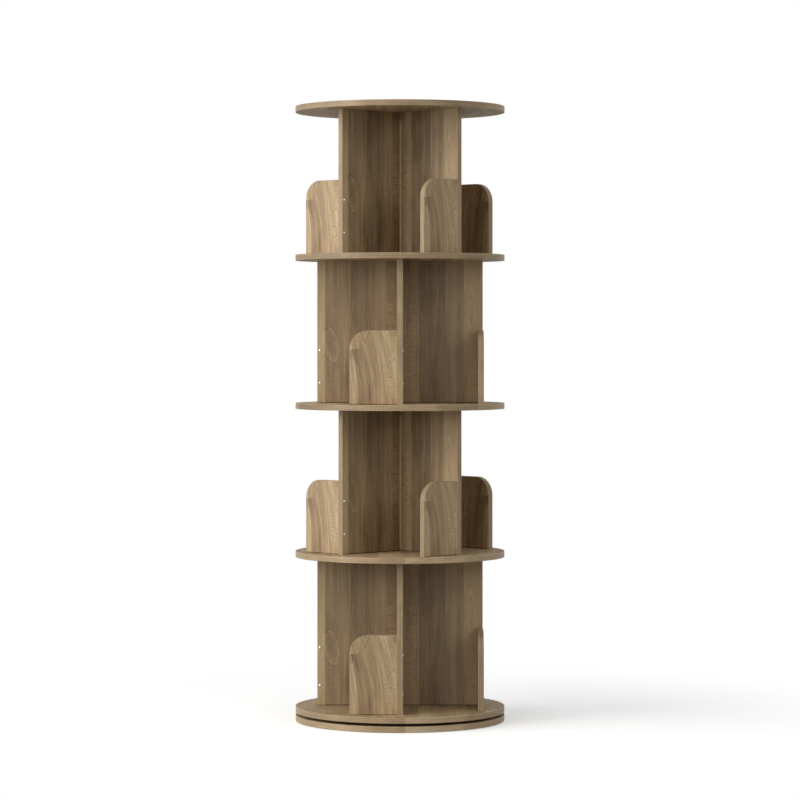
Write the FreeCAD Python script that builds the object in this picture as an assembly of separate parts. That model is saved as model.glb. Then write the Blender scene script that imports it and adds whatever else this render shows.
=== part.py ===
"""A round revolving bookcase: four tiers of crossed dividers between round boards.

The lowest board stands on the floor and everything above it turns on a ball-bearing ring.
All lengths are millimetres. Z is up, the floor is at zero and the Z axis is the turning axis.
South, which is -Y, is the front. Each piece is a solid of its own, in a file of its own.
Pieces that are alike and small, such as screws, share one file as a group of solids.
"""
import FreeCAD, Part
import math
import os

from FreeCAD import Vector

# Round boards, all alike
board_radius = 225.0
board_thickness = 12.5
# The strip of decor glued round every edge that shows, with its softened corners
band_thickness = 0.8
band_corner_radius = 0.5
band_joint_gap = 0.35
# Where the two ends of a board's band meet: at the front, at the right of the front, or at the back
front_band_joint_angle = -87.5
side_band_joint_angle = -43
back_band_joint_angle = 90

# Dividers, the uprights of each cross. Each arm ends short of the boards' edge.
divider_thickness = 12.5
arm_count = 4
arm_margin = 47.0
arm_reach = board_radius - arm_margin
tier_count = 4
floor_tier_height = 321.0
upper_tier_height = 306.0

# Book stops, low boards square to the ends of the arms
stop_thickness = 12.5
stop_width = 100.0
floor_stop_height = 168.0
upper_stop_height = 156.0
stop_corner_radius = 40.0

# Screws that hold a stop through its arm, with a round head outside
stop_screw_radius = 1.75
stop_screw_length = 40.0
stop_screw_head_radius = 3.0
stop_screw_head_height = 1.6
stop_screw_inset = 43.0
stop_screw_slot_width = 0.8
stop_screw_slot_length = 3.4
stop_screw_slot_depth = 0.9

# Screws through a board into the edge of a divider, sunk under a flush cap
shelf_screw_radius = 2.5
shelf_screw_length = 45.0
shelf_screw_head_radius = 4.0
shelf_screw_head_height = 3.0
shelf_screw_socket_sides = 6
shelf_screw_socket_radius = 1.8
shelf_screw_socket_depth = 2.2
shelf_screw_inset = 43.0
shelf_screw_place = arm_reach - shelf_screw_inset
cap_radius = 5.5
cap_thickness = 0.8

# Wooden dowels, the same everywhere
dowel_radius = 3.0
dowel_length = 30.0
dowel_chamfer = 0.6
dowel_depth_in_board = 8.0
shelf_dowel_spacing = 65.0
shelf_dowel_place = shelf_screw_place - shelf_dowel_spacing
cross_dowel_height_shares = (0.15, 0.5, 0.85)

# Felt pads under the base
pad_radius = 14.0
pad_height = 1.0
pad_margin = 35.0
pad_circle_radius = board_radius - pad_margin
pad_count = 8

# Turntable: an inner ring on the base, an outer ring on the floor board, balls between them
turntable_height = 6.2
ring_lift = 0.8
ring_width = 17.4
ball_circle_radius = 82.0
ball_radius = 1.6
ball_count = 40
race_slot = 1.2
cage_thickness = 0.6
cage_rim = 0.4
cage_height = 2 * (ball_radius + cage_rim)
inner_ring_rim_radius = ball_circle_radius - race_slot / 2
inner_ring_bore_radius = inner_ring_rim_radius - ring_width
outer_ring_bore_radius = ball_circle_radius + race_slot / 2
outer_ring_rim_radius = outer_ring_bore_radius + ring_width

# Countersunk screws of the rings
ring_screw_radius = 1.5
ring_screw_length = 13.0
ring_screw_head_radius = 3.0
ring_screw_head_height = 1.7
ring_screw_slot_width = 0.8
ring_screw_slot_length = 3.2
ring_screw_slot_depth = 0.9
inner_ring_screw_circle_radius = inner_ring_bore_radius + ring_width / 2
outer_ring_screw_circle_radius = outer_ring_bore_radius + ring_width / 2
ring_screw_count = 6
access_hole_radius = 8.0

# Clearance between a piece and the hole it sits in, and the overrun of every cut
fit_clearance = 0.05
cut_overrun = 2.0

# Levels
base_bottom = pad_height
base_top = base_bottom + board_thickness
floor_board_bottom = base_top + turntable_height
floor_board_top = floor_board_bottom + board_thickness

compass_names = ("east", "northeast", "north", "northwest", "west", "southwest", "south", "southeast")
compass_step = 360 / len(compass_names)
quarter_turn = 90
half_turn = 180
full_turn = 360


class Tier:
    """One storey: the bottom of its crosses, its height, its stops' height and its turn."""

    def __init__(self, name, bottom, height, stop_height, turn):
        self.name = name
        self.bottom = bottom
        self.height = height
        self.top = bottom + height
        self.stop_height = stop_height
        self.arm_angles = [turn + quarter_turn * arm for arm in range(arm_count)]


def make_tiers():
    """The tiers from the floor up. Every second cross is turned by an eighth of a turn."""
    tiers = []
    bottom = floor_board_top
    for number in range(1, tier_count + 1):
        height = floor_tier_height if number == 1 else upper_tier_height
        stop_height = floor_stop_height if number == 1 else upper_stop_height
        turn = 0 if number % 2 else compass_step
        tiers.append(Tier("tier_%d" % number, bottom, height, stop_height, turn))
        bottom += height + board_thickness
    return tiers


def compass_name(angle):
    return compass_names[int(angle % full_turn / compass_step)]


def box(x_range, y_range, z_range):
    """A block between three pairs of limits."""
    corner = Vector(x_range[0], y_range[0], z_range[0])
    return Part.makeBox(x_range[1] - x_range[0], y_range[1] - y_range[0], z_range[1] - z_range[0], corner)


def rod(radius, length, start, direction):
    return Part.makeCylinder(radius, length, start, direction)


def turned(shape, angle):
    """A copy of a shape, turned about the bookcase's axis."""
    copy = shape.copy()
    copy.rotate(Vector(0, 0, 0), Vector(0, 0, 1), angle)
    return copy


def upside_down(shape):
    copy = shape.copy()
    copy.rotate(Vector(0, 0, 0), Vector(1, 0, 0), half_turn)
    return copy


def moved(shape, x, y, z):
    copy = shape.copy()
    copy.translate(Vector(x, y, z))
    return copy


def export(name, solids):
    """Writes one node: a single solid, or a group of separate ones."""
    shape = solids[0] if len(solids) == 1 else Part.makeCompound(solids)
    for solid in shape.Solids:
        if not solid.isValid():
            print("not valid:", name)
    shape.exportStep("parts/%s.step" % name)
    print(name, len(shape.Solids), "solids, volume", round(shape.Volume))


# Bands

def soften(shape, picks_edge):
    """Rounds the edges that a test picks with the band's corner radius."""
    edges = [edge for edge in shape.Edges if picks_edge(edge)]
    return shape.makeFillet(band_corner_radius, edges)


def board_band(bottom, joint_angle):
    """The strip round a board: an almost closed ring, whose two ends meet in a fine joint."""
    inner = board_radius - band_thickness
    top = bottom + board_thickness
    outer_flat = board_radius - band_corner_radius
    diagonal = band_corner_radius * (1 - math.sqrt(0.5))
    corner_low = Vector(board_radius - diagonal, 0, bottom + diagonal)
    corner_high = Vector(board_radius - diagonal, 0, top - diagonal)
    points = [
        Vector(inner, 0, bottom),
        Vector(outer_flat, 0, bottom),
        Vector(board_radius, 0, bottom + band_corner_radius),
        Vector(board_radius, 0, top - band_corner_radius),
        Vector(outer_flat, 0, top),
        Vector(inner, 0, top),
    ]
    edges = [
        Part.LineSegment(points[0], points[1]).toShape(),
        Part.Arc(points[1], corner_low, points[2]).toShape(),
        Part.LineSegment(points[2], points[3]).toShape(),
        Part.Arc(points[3], corner_high, points[4]).toShape(),
        Part.LineSegment(points[4], points[5]).toShape(),
        Part.LineSegment(points[5], points[0]).toShape(),
    ]
    section = Part.Face(Part.Wire(edges))
    joint_turn = math.degrees(band_joint_gap / board_radius)
    ring = section.revolve(Vector(0, 0, 0), Vector(0, 0, 1), full_turn - joint_turn)
    return turned(ring, joint_angle + joint_turn / 2)


def arm_end_band(tier):
    """The strip on the outer end of an arm that points east."""
    half = divider_thickness / 2
    strip = box((arm_reach - band_thickness, arm_reach), (-half, half), (tier.bottom, tier.top))

    def outer_upright(edge):
        middle = edge.CenterOfMass
        upright = abs(edge.BoundBox.ZLength - tier.height) < fit_clearance
        return upright and middle.x > arm_reach - band_thickness / 2

    return soften(strip, outer_upright)


def stop_outline_solid(tier, width, height, corner_radius):
    """A stop's block with its rounded corner, for the stop on an arm that points east."""
    face_y = -divider_thickness / 2
    free_y = face_y - width
    top = tier.bottom + height
    x = arm_reach - stop_thickness
    diagonal = corner_radius * (1 - math.sqrt(0.5))
    foot_in = Vector(x, face_y, tier.bottom)
    foot_out = Vector(x, free_y, tier.bottom)
    bend_start = Vector(x, free_y, top - corner_radius)
    bend_middle = Vector(x, free_y + diagonal, top - diagonal)
    bend_end = Vector(x, free_y + corner_radius, top)
    head_in = Vector(x, face_y, top)
    edges = [
        Part.LineSegment(foot_in, foot_out).toShape(),
        Part.LineSegment(foot_out, bend_start).toShape(),
        Part.Arc(bend_start, bend_middle, bend_end).toShape(),
        Part.LineSegment(bend_end, head_in).toShape(),
        Part.LineSegment(head_in, foot_in).toShape(),
    ]
    return Part.Face(Part.Wire(edges)).extrude(Vector(stop_thickness, 0, 0))


def stop_core(tier):
    return stop_outline_solid(
        tier,
        stop_width - band_thickness,
        tier.stop_height - band_thickness,
        stop_corner_radius - band_thickness,
    )


def stop_band(tier):
    """The strip along the top, the rounded corner and the free side of a stop."""
    whole = stop_outline_solid(tier, stop_width, tier.stop_height, stop_corner_radius)
    strip = whole.cut(stop_core(tier))
    free_y = -divider_thickness / 2 - stop_width
    top = tier.bottom + tier.stop_height

    def on_outer_rim(edge):
        if edge.BoundBox.XLength > fit_clearance:
            return False
        middle = edge.valueAt((edge.FirstParameter + edge.LastParameter) / 2)
        past_top = middle.z > top - band_thickness / 2
        past_side = middle.y < free_y + band_thickness / 2
        if edge.Curve.TypeId == "Part::GeomCircle":
            return edge.Curve.Radius > stop_corner_radius - band_thickness / 2
        return (past_top and edge.BoundBox.YLength > band_thickness) or (
            past_side and edge.BoundBox.ZLength > band_thickness)

    return soften(strip, on_outer_rim)


# Fasteners. Each is made with its head's top at zero, pointing down.
# With room, it is the hole that the fastener needs.

def countersunk_screw(radius, length, head_radius, head_height, room):
    cone = Part.makeCone(
        head_radius + room, radius + room, head_height, Vector(0, 0, 0), Vector(0, 0, -1))
    shank = rod(radius + room, length + room, Vector(0, 0, 0), Vector(0, 0, -1))
    return cone.fuse(shank).removeSplitter()


def cross_recess(width, length, depth, top):
    """The cross cut into a screw head whose top is at the given height."""
    z_range = (top - depth, top + cut_overrun)
    one_way = box((-length / 2, length / 2), (-width / 2, width / 2), z_range)
    other_way = box((-width / 2, width / 2), (-length / 2, length / 2), z_range)
    return one_way.fuse(other_way)


def shelf_screw(room):
    """A connecting screw under its cap. The board's face is at zero."""
    screw = countersunk_screw(
        shelf_screw_radius, shelf_screw_length, shelf_screw_head_radius, shelf_screw_head_height, room)
    screw = moved(screw, 0, 0, -cap_thickness)
    if room:
        pocket = rod(
            cap_radius + room, cap_thickness + cut_overrun, Vector(0, 0, -cap_thickness), Vector(0, 0, 1))
        return screw.fuse(pocket)
    corners = []
    for corner in range(shelf_screw_socket_sides + 1):
        angle = math.radians(full_turn * corner / shelf_screw_socket_sides)
        x = shelf_screw_socket_radius * math.cos(angle)
        y = shelf_screw_socket_radius * math.sin(angle)
        corners.append(Vector(x, y, -cap_thickness))
    socket = Part.Face(Part.makePolygon(corners)).extrude(Vector(0, 0, -shelf_screw_socket_depth))
    return screw.cut(socket)


def cap():
    return rod(cap_radius, cap_thickness, Vector(0, 0, -cap_thickness), Vector(0, 0, 1))


def dowel(room):
    """A dowel whose middle is at zero, upright."""
    foot = Vector(0, 0, -dowel_length / 2 - room)
    peg = rod(dowel_radius + room, dowel_length + 2 * room, foot, Vector(0, 0, 1))
    if room:
        return peg
    rims = [edge for edge in peg.Edges if edge.Curve.TypeId == "Part::GeomCircle"]
    return peg.makeChamfer(dowel_chamfer, rims)


def stop_screw(room):
    """A round-headed screw. The face under its head is at zero and its shank points down."""
    shank = rod(stop_screw_radius + room, stop_screw_length + room, Vector(0, 0, 0), Vector(0, 0, -1))
    if room:
        return shank
    squares = stop_screw_head_radius ** 2 + stop_screw_head_height ** 2
    dome_radius = squares / (2 * stop_screw_head_height)
    ball = Part.makeSphere(dome_radius, Vector(0, 0, stop_screw_head_height - dome_radius))
    block = rod(stop_screw_head_radius, stop_screw_head_height, Vector(0, 0, 0), Vector(0, 0, 1))
    head = ball.common(block)
    recess = cross_recess(
        stop_screw_slot_width, stop_screw_slot_length, stop_screw_slot_depth, stop_screw_head_height)
    return head.fuse(shank).removeSplitter().cut(recess)


def ring_screw(room):
    screw = countersunk_screw(
        ring_screw_radius, ring_screw_length, ring_screw_head_radius, ring_screw_head_height, room)
    if room:
        mouth = rod(ring_screw_head_radius + room, cut_overrun, Vector(0, 0, 0), Vector(0, 0, 1))
        return screw.fuse(mouth)
    return screw.cut(cross_recess(ring_screw_slot_width, ring_screw_slot_length, ring_screw_slot_depth, 0))


# Where the fasteners of one tier go

def place_on_arms(shape, tier, x, z):
    """One copy of a shape on each arm of a tier, at a distance from the axis and a height."""
    return [turned(moved(shape, x, 0, z), angle) for angle in tier.arm_angles]


def shelf_screws(tier, room):
    """Screws down through the board above the tier and up through the board below it."""
    screw = shelf_screw(room)
    down = place_on_arms(screw, tier, shelf_screw_place, tier.top + board_thickness)
    up = place_on_arms(upside_down(screw), tier, shelf_screw_place, tier.bottom - board_thickness)
    return down + up


def shelf_caps(tier):
    down = place_on_arms(cap(), tier, shelf_screw_place, tier.top + board_thickness)
    if tier.bottom == floor_board_top:
        return down
    return down + place_on_arms(upside_down(cap()), tier, shelf_screw_place, tier.bottom - board_thickness)


def shelf_dowels(tier, room):
    peg = dowel(room)
    reach_into_divider = dowel_length / 2 - dowel_depth_in_board
    high = place_on_arms(peg, tier, shelf_dowel_place, tier.top - reach_into_divider)
    low = place_on_arms(peg, tier, shelf_dowel_place, tier.bottom + reach_into_divider)
    return high + low


def cross_dowels(tier, room):
    """Dowels that run through the full-width divider into both half dividers."""
    peg = dowel(room)
    peg.rotate(Vector(0, 0, 0), Vector(1, 0, 0), quarter_turn)
    pegs = []
    for share in cross_dowel_height_shares:
        pegs.append(turned(moved(peg, 0, 0, tier.bottom + share * tier.height), tier.arm_angles[0]))
    return pegs


def stop_screws(tier, room):
    """Two screws a stop, through the arm from its other face into the stop's edge."""
    screw = stop_screw(room)
    screw.rotate(Vector(0, 0, 0), Vector(1, 0, 0), -quarter_turn)
    screw = moved(screw, 0, divider_thickness / 2, 0)
    place = arm_reach - stop_thickness / 2
    low = place_on_arms(screw, tier, place, tier.bottom + stop_screw_inset)
    high = place_on_arms(screw, tier, place, tier.bottom + tier.stop_height - stop_screw_inset)
    return low + high


# Dividers and stops

def through_divider(tier, holes):
    """The full-width divider of a cross, between its two end bands."""
    half = divider_thickness / 2
    reach = arm_reach - band_thickness
    board = box((-reach, reach), (-half, half), (tier.bottom, tier.top))
    return turned(board, tier.arm_angles[0]).cut(holes)


def half_divider(tier, angle, holes):
    """A divider that butts on the face of the full-width one."""
    half = divider_thickness / 2
    board = box((half, arm_reach - band_thickness), (-half, half), (tier.bottom, tier.top))
    return turned(board, angle).cut(holes)


def build_tier(tier):
    holes = (
        shelf_screws(tier, fit_clearance)
        + shelf_dowels(tier, fit_clearance)
        + cross_dowels(tier, fit_clearance)
        + stop_screws(tier, fit_clearance)
    )
    export(tier.name + "_through_divider", [through_divider(tier, holes)])
    for angle in (tier.arm_angles[1], tier.arm_angles[3]):
        name = "%s_half_divider_%s" % (tier.name, compass_name(angle))
        export(name, [half_divider(tier, angle, holes)])
    for angle in tier.arm_angles:
        name = "%s_stop_%s" % (tier.name, compass_name(angle))
        export(name, [turned(stop_core(tier), angle).cut(stop_screws(tier, fit_clearance))])
    export(tier.name + "_divider_bands", place_on_arms(arm_end_band(tier), tier, 0, 0))
    export(tier.name + "_stop_bands", place_on_arms(stop_band(tier), tier, 0, 0))


# Boards

def round_board(bottom, holes):
    """A board without its band, with the holes of whatever is fixed to it."""
    board = rod(board_radius - band_thickness, board_thickness, Vector(0, 0, bottom), Vector(0, 0, 1))
    return board.cut(holes)


def board_holes(tiers):
    holes = []
    for tier in tiers:
        holes += shelf_screws(tier, fit_clearance) + shelf_dowels(tier, fit_clearance)
    return holes


def build_boards(tiers):
    """The boards from the floor up. Each has its holes and its band, with the band's own joint angle."""
    base_holes = turntable_screws(fit_clearance)[0] + [access_hole()]
    export("base_board", [round_board(base_bottom, base_holes)])
    export("base_board_band", [board_band(base_bottom, front_band_joint_angle)])
    floor_holes = board_holes(tiers[:1]) + turntable_screws(fit_clearance)[1]
    export("floor_board", [round_board(floor_board_bottom, floor_holes)])
    export("floor_board_band", [board_band(floor_board_bottom, front_band_joint_angle)])
    upper_boards = (
        ("shelf_2", front_band_joint_angle),
        ("shelf_3", side_band_joint_angle),
        ("shelf_4", back_band_joint_angle),
        ("top_board", back_band_joint_angle),
    )
    for index, (name, joint_angle) in enumerate(upper_boards):
        bottom = tiers[index].top
        export(name, [round_board(bottom, board_holes(tiers[index:index + 2]))])
        export(name + "_band", [board_band(bottom, joint_angle)])


# Turntable

def around(shape, count, radius):
    """Copies of a shape, evenly spaced round a circle."""
    return [turned(moved(shape, radius, 0, 0), full_turn * step / count) for step in range(count)]


def turntable_screws(room):
    """The screws of the inner ring, which point down, and those of the outer ring, which point up."""
    screw = ring_screw(room)
    inner_level = floor_board_bottom - ring_lift
    outer_level = base_top + ring_lift
    inner = around(moved(screw, 0, 0, inner_level), ring_screw_count, inner_ring_screw_circle_radius)
    rising = moved(upside_down(screw), 0, 0, outer_level)
    outer = around(rising, ring_screw_count, outer_ring_screw_circle_radius)
    return inner, outer


def access_hole():
    """The hole in the base board through which the outer ring's screws are driven one by one."""
    start = Vector(outer_ring_screw_circle_radius, 0, base_bottom - cut_overrun)
    return rod(access_hole_radius, board_thickness + 2 * cut_overrun, start, Vector(0, 0, 1))


def tube(inner, outer, bottom, top):
    wall = rod(outer, top - bottom, Vector(0, 0, bottom), Vector(0, 0, 1))
    bore_start = Vector(0, 0, bottom - cut_overrun)
    return wall.cut(rod(inner, top - bottom + 2 * cut_overrun, bore_start, Vector(0, 0, 1)))


def build_turntable():
    middle = base_top + turntable_height / 2
    groove_radius = ball_radius + fit_clearance
    race = Part.makeTorus(ball_circle_radius, groove_radius, Vector(0, 0, middle), Vector(0, 0, 1))
    inner_screws, outer_screws = turntable_screws(0)
    inner_holes, outer_holes = turntable_screws(fit_clearance)

    inner_ring = tube(inner_ring_bore_radius, inner_ring_rim_radius, base_top, floor_board_bottom - ring_lift)
    export("turntable_inner_ring", [inner_ring.cut([race] + inner_holes)])
    outer_ring = tube(outer_ring_bore_radius, outer_ring_rim_radius, base_top + ring_lift, floor_board_bottom)
    export("turntable_outer_ring", [outer_ring.cut([race] + outer_holes)])

    ball = Part.makeSphere(ball_radius, Vector(0, 0, middle))
    export("turntable_balls", around(ball, ball_count, ball_circle_radius))
    cage = tube(
        ball_circle_radius - cage_thickness / 2,
        ball_circle_radius + cage_thickness / 2,
        middle - cage_height / 2,
        middle + cage_height / 2,
    )
    pocket = rod(ball_radius + fit_clearance, race_slot, Vector(-race_slot / 2, 0, middle), Vector(1, 0, 0))
    export("turntable_cage", [cage.cut(around(pocket, ball_count, ball_circle_radius))])

    export("inner_ring_screws", inner_screws)
    export("outer_ring_screws", outer_screws)


def build_pads():
    """A ring of thin pads under the base board and one at its middle."""
    pad = rod(pad_radius, pad_height, Vector(0, 0, 0), Vector(0, 0, 1))
    export("base_pads", [pad] + around(pad, pad_count, pad_circle_radius))


def build_fasteners(tiers):
    screws = []
    caps = []
    dowels = []
    stop_fixings = []
    for tier in tiers:
        screws += shelf_screws(tier, 0)
        caps += shelf_caps(tier)
        dowels += shelf_dowels(tier, 0) + cross_dowels(tier, 0)
        stop_fixings += stop_screws(tier, 0)
    export("shelf_screws", screws)
    export("screw_caps", caps)
    export("dowels", dowels)
    export("stop_screws", stop_fixings)


def main():
    os.makedirs("parts", exist_ok=True)
    tiers = make_tiers()
    build_pads()
    build_turntable()
    build_boards(tiers)
    for tier in tiers:
        build_tier(tier)
    build_fasteners(tiers)
    print("total height", tiers[-1].top + board_thickness)


main()
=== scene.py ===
"""Looks of the revolving bookcase: oak decor on boards and bands, its small parts and the studio."""

import math
import random

import bpy
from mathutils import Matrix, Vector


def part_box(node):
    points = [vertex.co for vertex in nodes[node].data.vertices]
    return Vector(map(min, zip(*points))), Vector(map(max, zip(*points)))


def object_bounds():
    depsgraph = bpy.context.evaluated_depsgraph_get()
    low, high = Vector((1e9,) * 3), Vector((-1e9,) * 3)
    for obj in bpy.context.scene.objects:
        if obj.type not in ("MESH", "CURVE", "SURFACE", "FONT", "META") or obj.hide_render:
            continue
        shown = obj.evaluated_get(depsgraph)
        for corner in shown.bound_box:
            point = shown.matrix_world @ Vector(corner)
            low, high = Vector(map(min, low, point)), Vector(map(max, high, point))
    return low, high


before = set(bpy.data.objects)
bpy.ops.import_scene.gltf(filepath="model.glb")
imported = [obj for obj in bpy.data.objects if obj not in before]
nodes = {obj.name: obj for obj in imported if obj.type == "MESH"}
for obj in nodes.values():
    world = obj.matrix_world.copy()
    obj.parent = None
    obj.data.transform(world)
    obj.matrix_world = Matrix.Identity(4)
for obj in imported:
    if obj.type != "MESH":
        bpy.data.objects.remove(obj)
cad_low, cad_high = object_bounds()

MM = 0.001
FULL_TURN = 360
# The round boards from the floor up. The lowest tier stands on the second one.
BOARDS = ("base_board", "floor_board", "shelf_2", "shelf_3", "shelf_4", "top_board")
# Every second tier stands an eighth of a turn round, here in degrees
TIER_TURNS = {"tier_1": 0, "tier_2": 45, "tier_3": 0, "tier_4": 45}
# Where an arm points, in degrees: east is to the right and south to the front
HEADINGS = {"east": 0, "northeast": 45, "north": 90, "northwest": 135,
            "west": 180, "southwest": 225, "south": 270, "southeast": 315}


def srgb(code):
    """Turns an sRGB hex colour into the linear one that Blender works in."""
    parts = [int(code[i:i + 2], 16) / 255 for i in (0, 2, 4)]
    return [c / 12.92 if c <= 0.04045 else ((c + 0.055) / 1.055) ** 2.4 for c in parts] + [1]


def greys(levels):
    """The stops of a colour ramp from places and grey levels."""
    return [(place, (level, level, level, 1)) for place, level in levels]


def per_mm(sizes):
    """A pattern's scale from the size of its features in mm."""
    return [1 / size for size in sizes]


def add(tree, kind, sockets=None, stops=None, **settings):
    """Adds one node with its settings and links.

    A socket takes a value, one of a node's outputs, or a node, which stands for its first output.
    stops are the places and colours of a colour ramp.
    """
    node = tree.nodes.new(kind)
    for name, value in settings.items():
        setattr(node, name, value)
    for socket, value in (sockets or {}).items():
        if isinstance(value, bpy.types.Node):
            value = value.outputs[0]
        if isinstance(value, bpy.types.NodeSocket):
            tree.links.new(value, node.inputs[socket])
        else:
            node.inputs[socket].default_value = value
    if stops:
        elements = node.color_ramp.elements
        while len(elements) > 1:
            elements.remove(elements[-1])
        elements[0].position, elements[0].color = stops[0]
        for place, colour in stops[1:]:
            elements.new(place).color = colour
    return node


def new_material(name):
    """A material with no nodes yet."""
    material = bpy.data.materials.new(name)
    material.use_nodes = True
    material.node_tree.nodes.clear()
    return material


def dress(material, *names):
    """Gives these CAD nodes one material all over."""
    for name in names:
        nodes[name].data.materials.clear()
        nodes[name].data.materials.append(material)


# A noise field, and the profile of a mark, lie about this level, which leaves the tone as it is
NEUTRAL = 0.5
# A noise field stays between these levels nearly everywhere
NOISE_SWING = (0.3, 0.7)
# How much each finer layer of a rough noise counts
ROUGH_LAYERS = 0.6

# Oak decor boards
# Particle board under printed paper with a matt melamine face. The eye sees staves of different
# tone, growth rings that close round knots, dark pores, ray flecks and a low satin sheen.

OAK_TONES = [(0.0, srgb("4B3A27")), (0.22, srgb("705C42")), (0.45, srgb("988162")), (0.70, srgb("B99F7A")),
             (1.0, srgb("DAC49E"))]
# The stops' print is a little redder in its dark streaks
STOP_TONES = [(0.0, srgb("503A27")), (0.22, srgb("755C42")), (0.45, srgb("9C8162")), (0.70, srgb("BA9F7A")),
              (1.0, srgb("DAC49E"))]
# Some streaks lean to straw, others to rose
OAK_TINTS = [(0.40, srgb("FEFFF0")), (0.60, srgb("FFF7F3"))]
TINT_SIZE = (16, 16, 120)
TINT_STRENGTH = 0.35

MELAMINE_IOR = 1.5
BOARD_ROUGHNESS = 0.55
ROUGHNESS_SPREAD = 0.05
# The pressed face: how strong its relief is, its height in mm, and how deep pores go against the grain
BOARD_RELIEF_STRENGTH = 0.35
BOARD_RELIEF = 0.03
BOARD_PORE_DEPTH = -3.0

# All sizes of a pattern are in mm across the grain, through the board and along the grain

# Grain fields: the size of a streak, the noise's detail, and how much the field changes the tone
GRAIN = {
    "broad": ((12, 12, 190), 1.0, 0.30),
    "fine": ((2.4, 2.4, 85), 2.0, 0.18),
    "cloud": ((30, 30, 70), 2.0, 0.24),
}
# The slow waver of the grain, and how far it pushes a streak aside in mm
WAVER_SIZE = (55, 90, 160)
WAVER_PUSH = 9
# Growth rings: their spacing in mm, how far broad streaks push them aside, and their weight
RING_SPACING = 7.0
RING_PUSH = 45.0
RING_WEIGHT = 0.22
# The lumps that push knots and arcs out of shape, and how far
LUMP_SIZE = (17, 90, 24)
LUMP_PUSH = (11, 0, 13)
# Ray flecks lie in patches: the noise at a patch's rim and inside it, and how much flecks show there
FLECK_SIZE = (9.5, 10, 2.0)
FLECK_PATCH_SIZE = (22, 10, 45)
FLECK_PATCH_RIM = 0.48
FLECK_PATCH_INSIDE = 0.62
FLECK_PATCH_STRENGTH = 0.20
# A place with strong flecks fades out from this share of its half size to its rim
FLECK_PLACE_INSIDE = 0.6
# Pores: the noise at a pore's rim and inside it, and how dark they are
PORE_SIZE = (0.7, 0.7, 10)
PORE_RIM = 0.60
PORE_INSIDE = 0.72
BOARD_PORE_SHADE = -0.10

# Marks reach through the whole board, so their half size there is larger than any board's
THROUGH = 1000
# A stave's facts travel as one colour, so lengths in mm are divided by these spans and set about a half
HEART_SPAN = 1000
EYE_SPAN = 4000

# Marks of the print. A profile gives the tone from a mark's middle to its rim, as a change of NEUTRAL.
KNOT = [(0.0, 0.16), (0.4, 0.30), (0.62, 0.50), (0.8, 0.42), (1.0, 0.5)]
EYE = [(0.0, 0.45), (0.45, 0.49), (0.70, 0.57), (0.86, 0.65), (0.92, 0.56), (0.965, 0.33), (1.0, 0.5)]
ARCHES = [(0.0, 0.36), (0.22, 0.36), (0.45, 0.57), (0.60, 0.55), (0.80, 0.30), (0.92, 0.32), (1.0, 0.5)]
FAINT_ARCHES = [(0.0, 0.44), (0.2, 0.55), (0.4, 0.43), (0.6, 0.55), (0.8, 0.43), (1.0, 0.5)]


def streak(depth):
    """The profile of a soft streak: darker below zero, lighter above."""
    return [(0.0, NEUTRAL + depth), (0.5, NEUTRAL + depth * 0.6), (1.0, NEUTRAL)]


def patch(depth):
    """The profile of an even patch with a sharp rim, such as the end of a stave."""
    return [(0.0, NEUTRAL + depth), (0.94, NEUTRAL + depth), (1.0, NEUTRAL)]


def mark(across, along, half_width, half_length, profile, lean=0, shape="round"):
    """One mark: its middle and half size in mm, its profile, its lean in degrees and its shape.

    A "square" one has straight sides, and a "pointed" one has its four corners on its axes.
    """
    return {"middle": (across, 0, along), "half_size": (half_width, THROUGH, half_length),
            "profile": profile, "lean": (0, math.radians(lean), 0), "shape": shape}


def flecks(across, along, half_width, half_length, strength):
    """A place with strong ray flecks: its middle and half size in mm, and how much they show."""
    return {"middle": (across, 0, along), "half_size": (half_width, THROUGH, half_length),
            "strength": strength}


def stave(start, tone, heart=0.0, taper=0.0, eye=0.0):
    """One stave of the print: where it starts in mm, how light it is, and its growth rings.

    heart is where the rings' middle lies across the grain and eye where it lies along it, both
    in mm, and taper is how fast the rings open along the grain. They travel as one colour.
    """
    return start, (tone, heart / HEART_SPAN + 0.5, taper, eye / EYE_SPAN + 0.5)


def stave_facts(tree, across, staves):
    """Reads the facts of the stave that a point lies in: tone, heart, taper and eye."""
    # The last stave has no end of its own, so the ramp ends a millimetre past its start
    first = staves[0][0]
    last = staves[-1][0] + 1.0
    share = add(tree, "ShaderNodeMapRange", {"Value": across, "From Min": first, "From Max": last})
    ramp = add(tree, "ShaderNodeValToRGB", {"Fac": share},
               stops=[((start - first) / (last - first), facts) for start, facts in staves])
    ramp.color_ramp.interpolation = "CONSTANT"
    facts = add(tree, "ShaderNodeSeparateColor", {"Color": ramp.outputs["Color"]})
    tone, heart, taper = facts.outputs
    heart = add(tree, "ShaderNodeMath", {0: heart, 1: HEART_SPAN, 2: -HEART_SPAN / 2},
                operation="MULTIPLY_ADD")
    eye = add(tree, "ShaderNodeMath", {0: ramp.outputs["Alpha"], 1: EYE_SPAN, 2: -EYE_SPAN / 2},
              operation="MULTIPLY_ADD")
    return tone, heart, taper, eye


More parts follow.
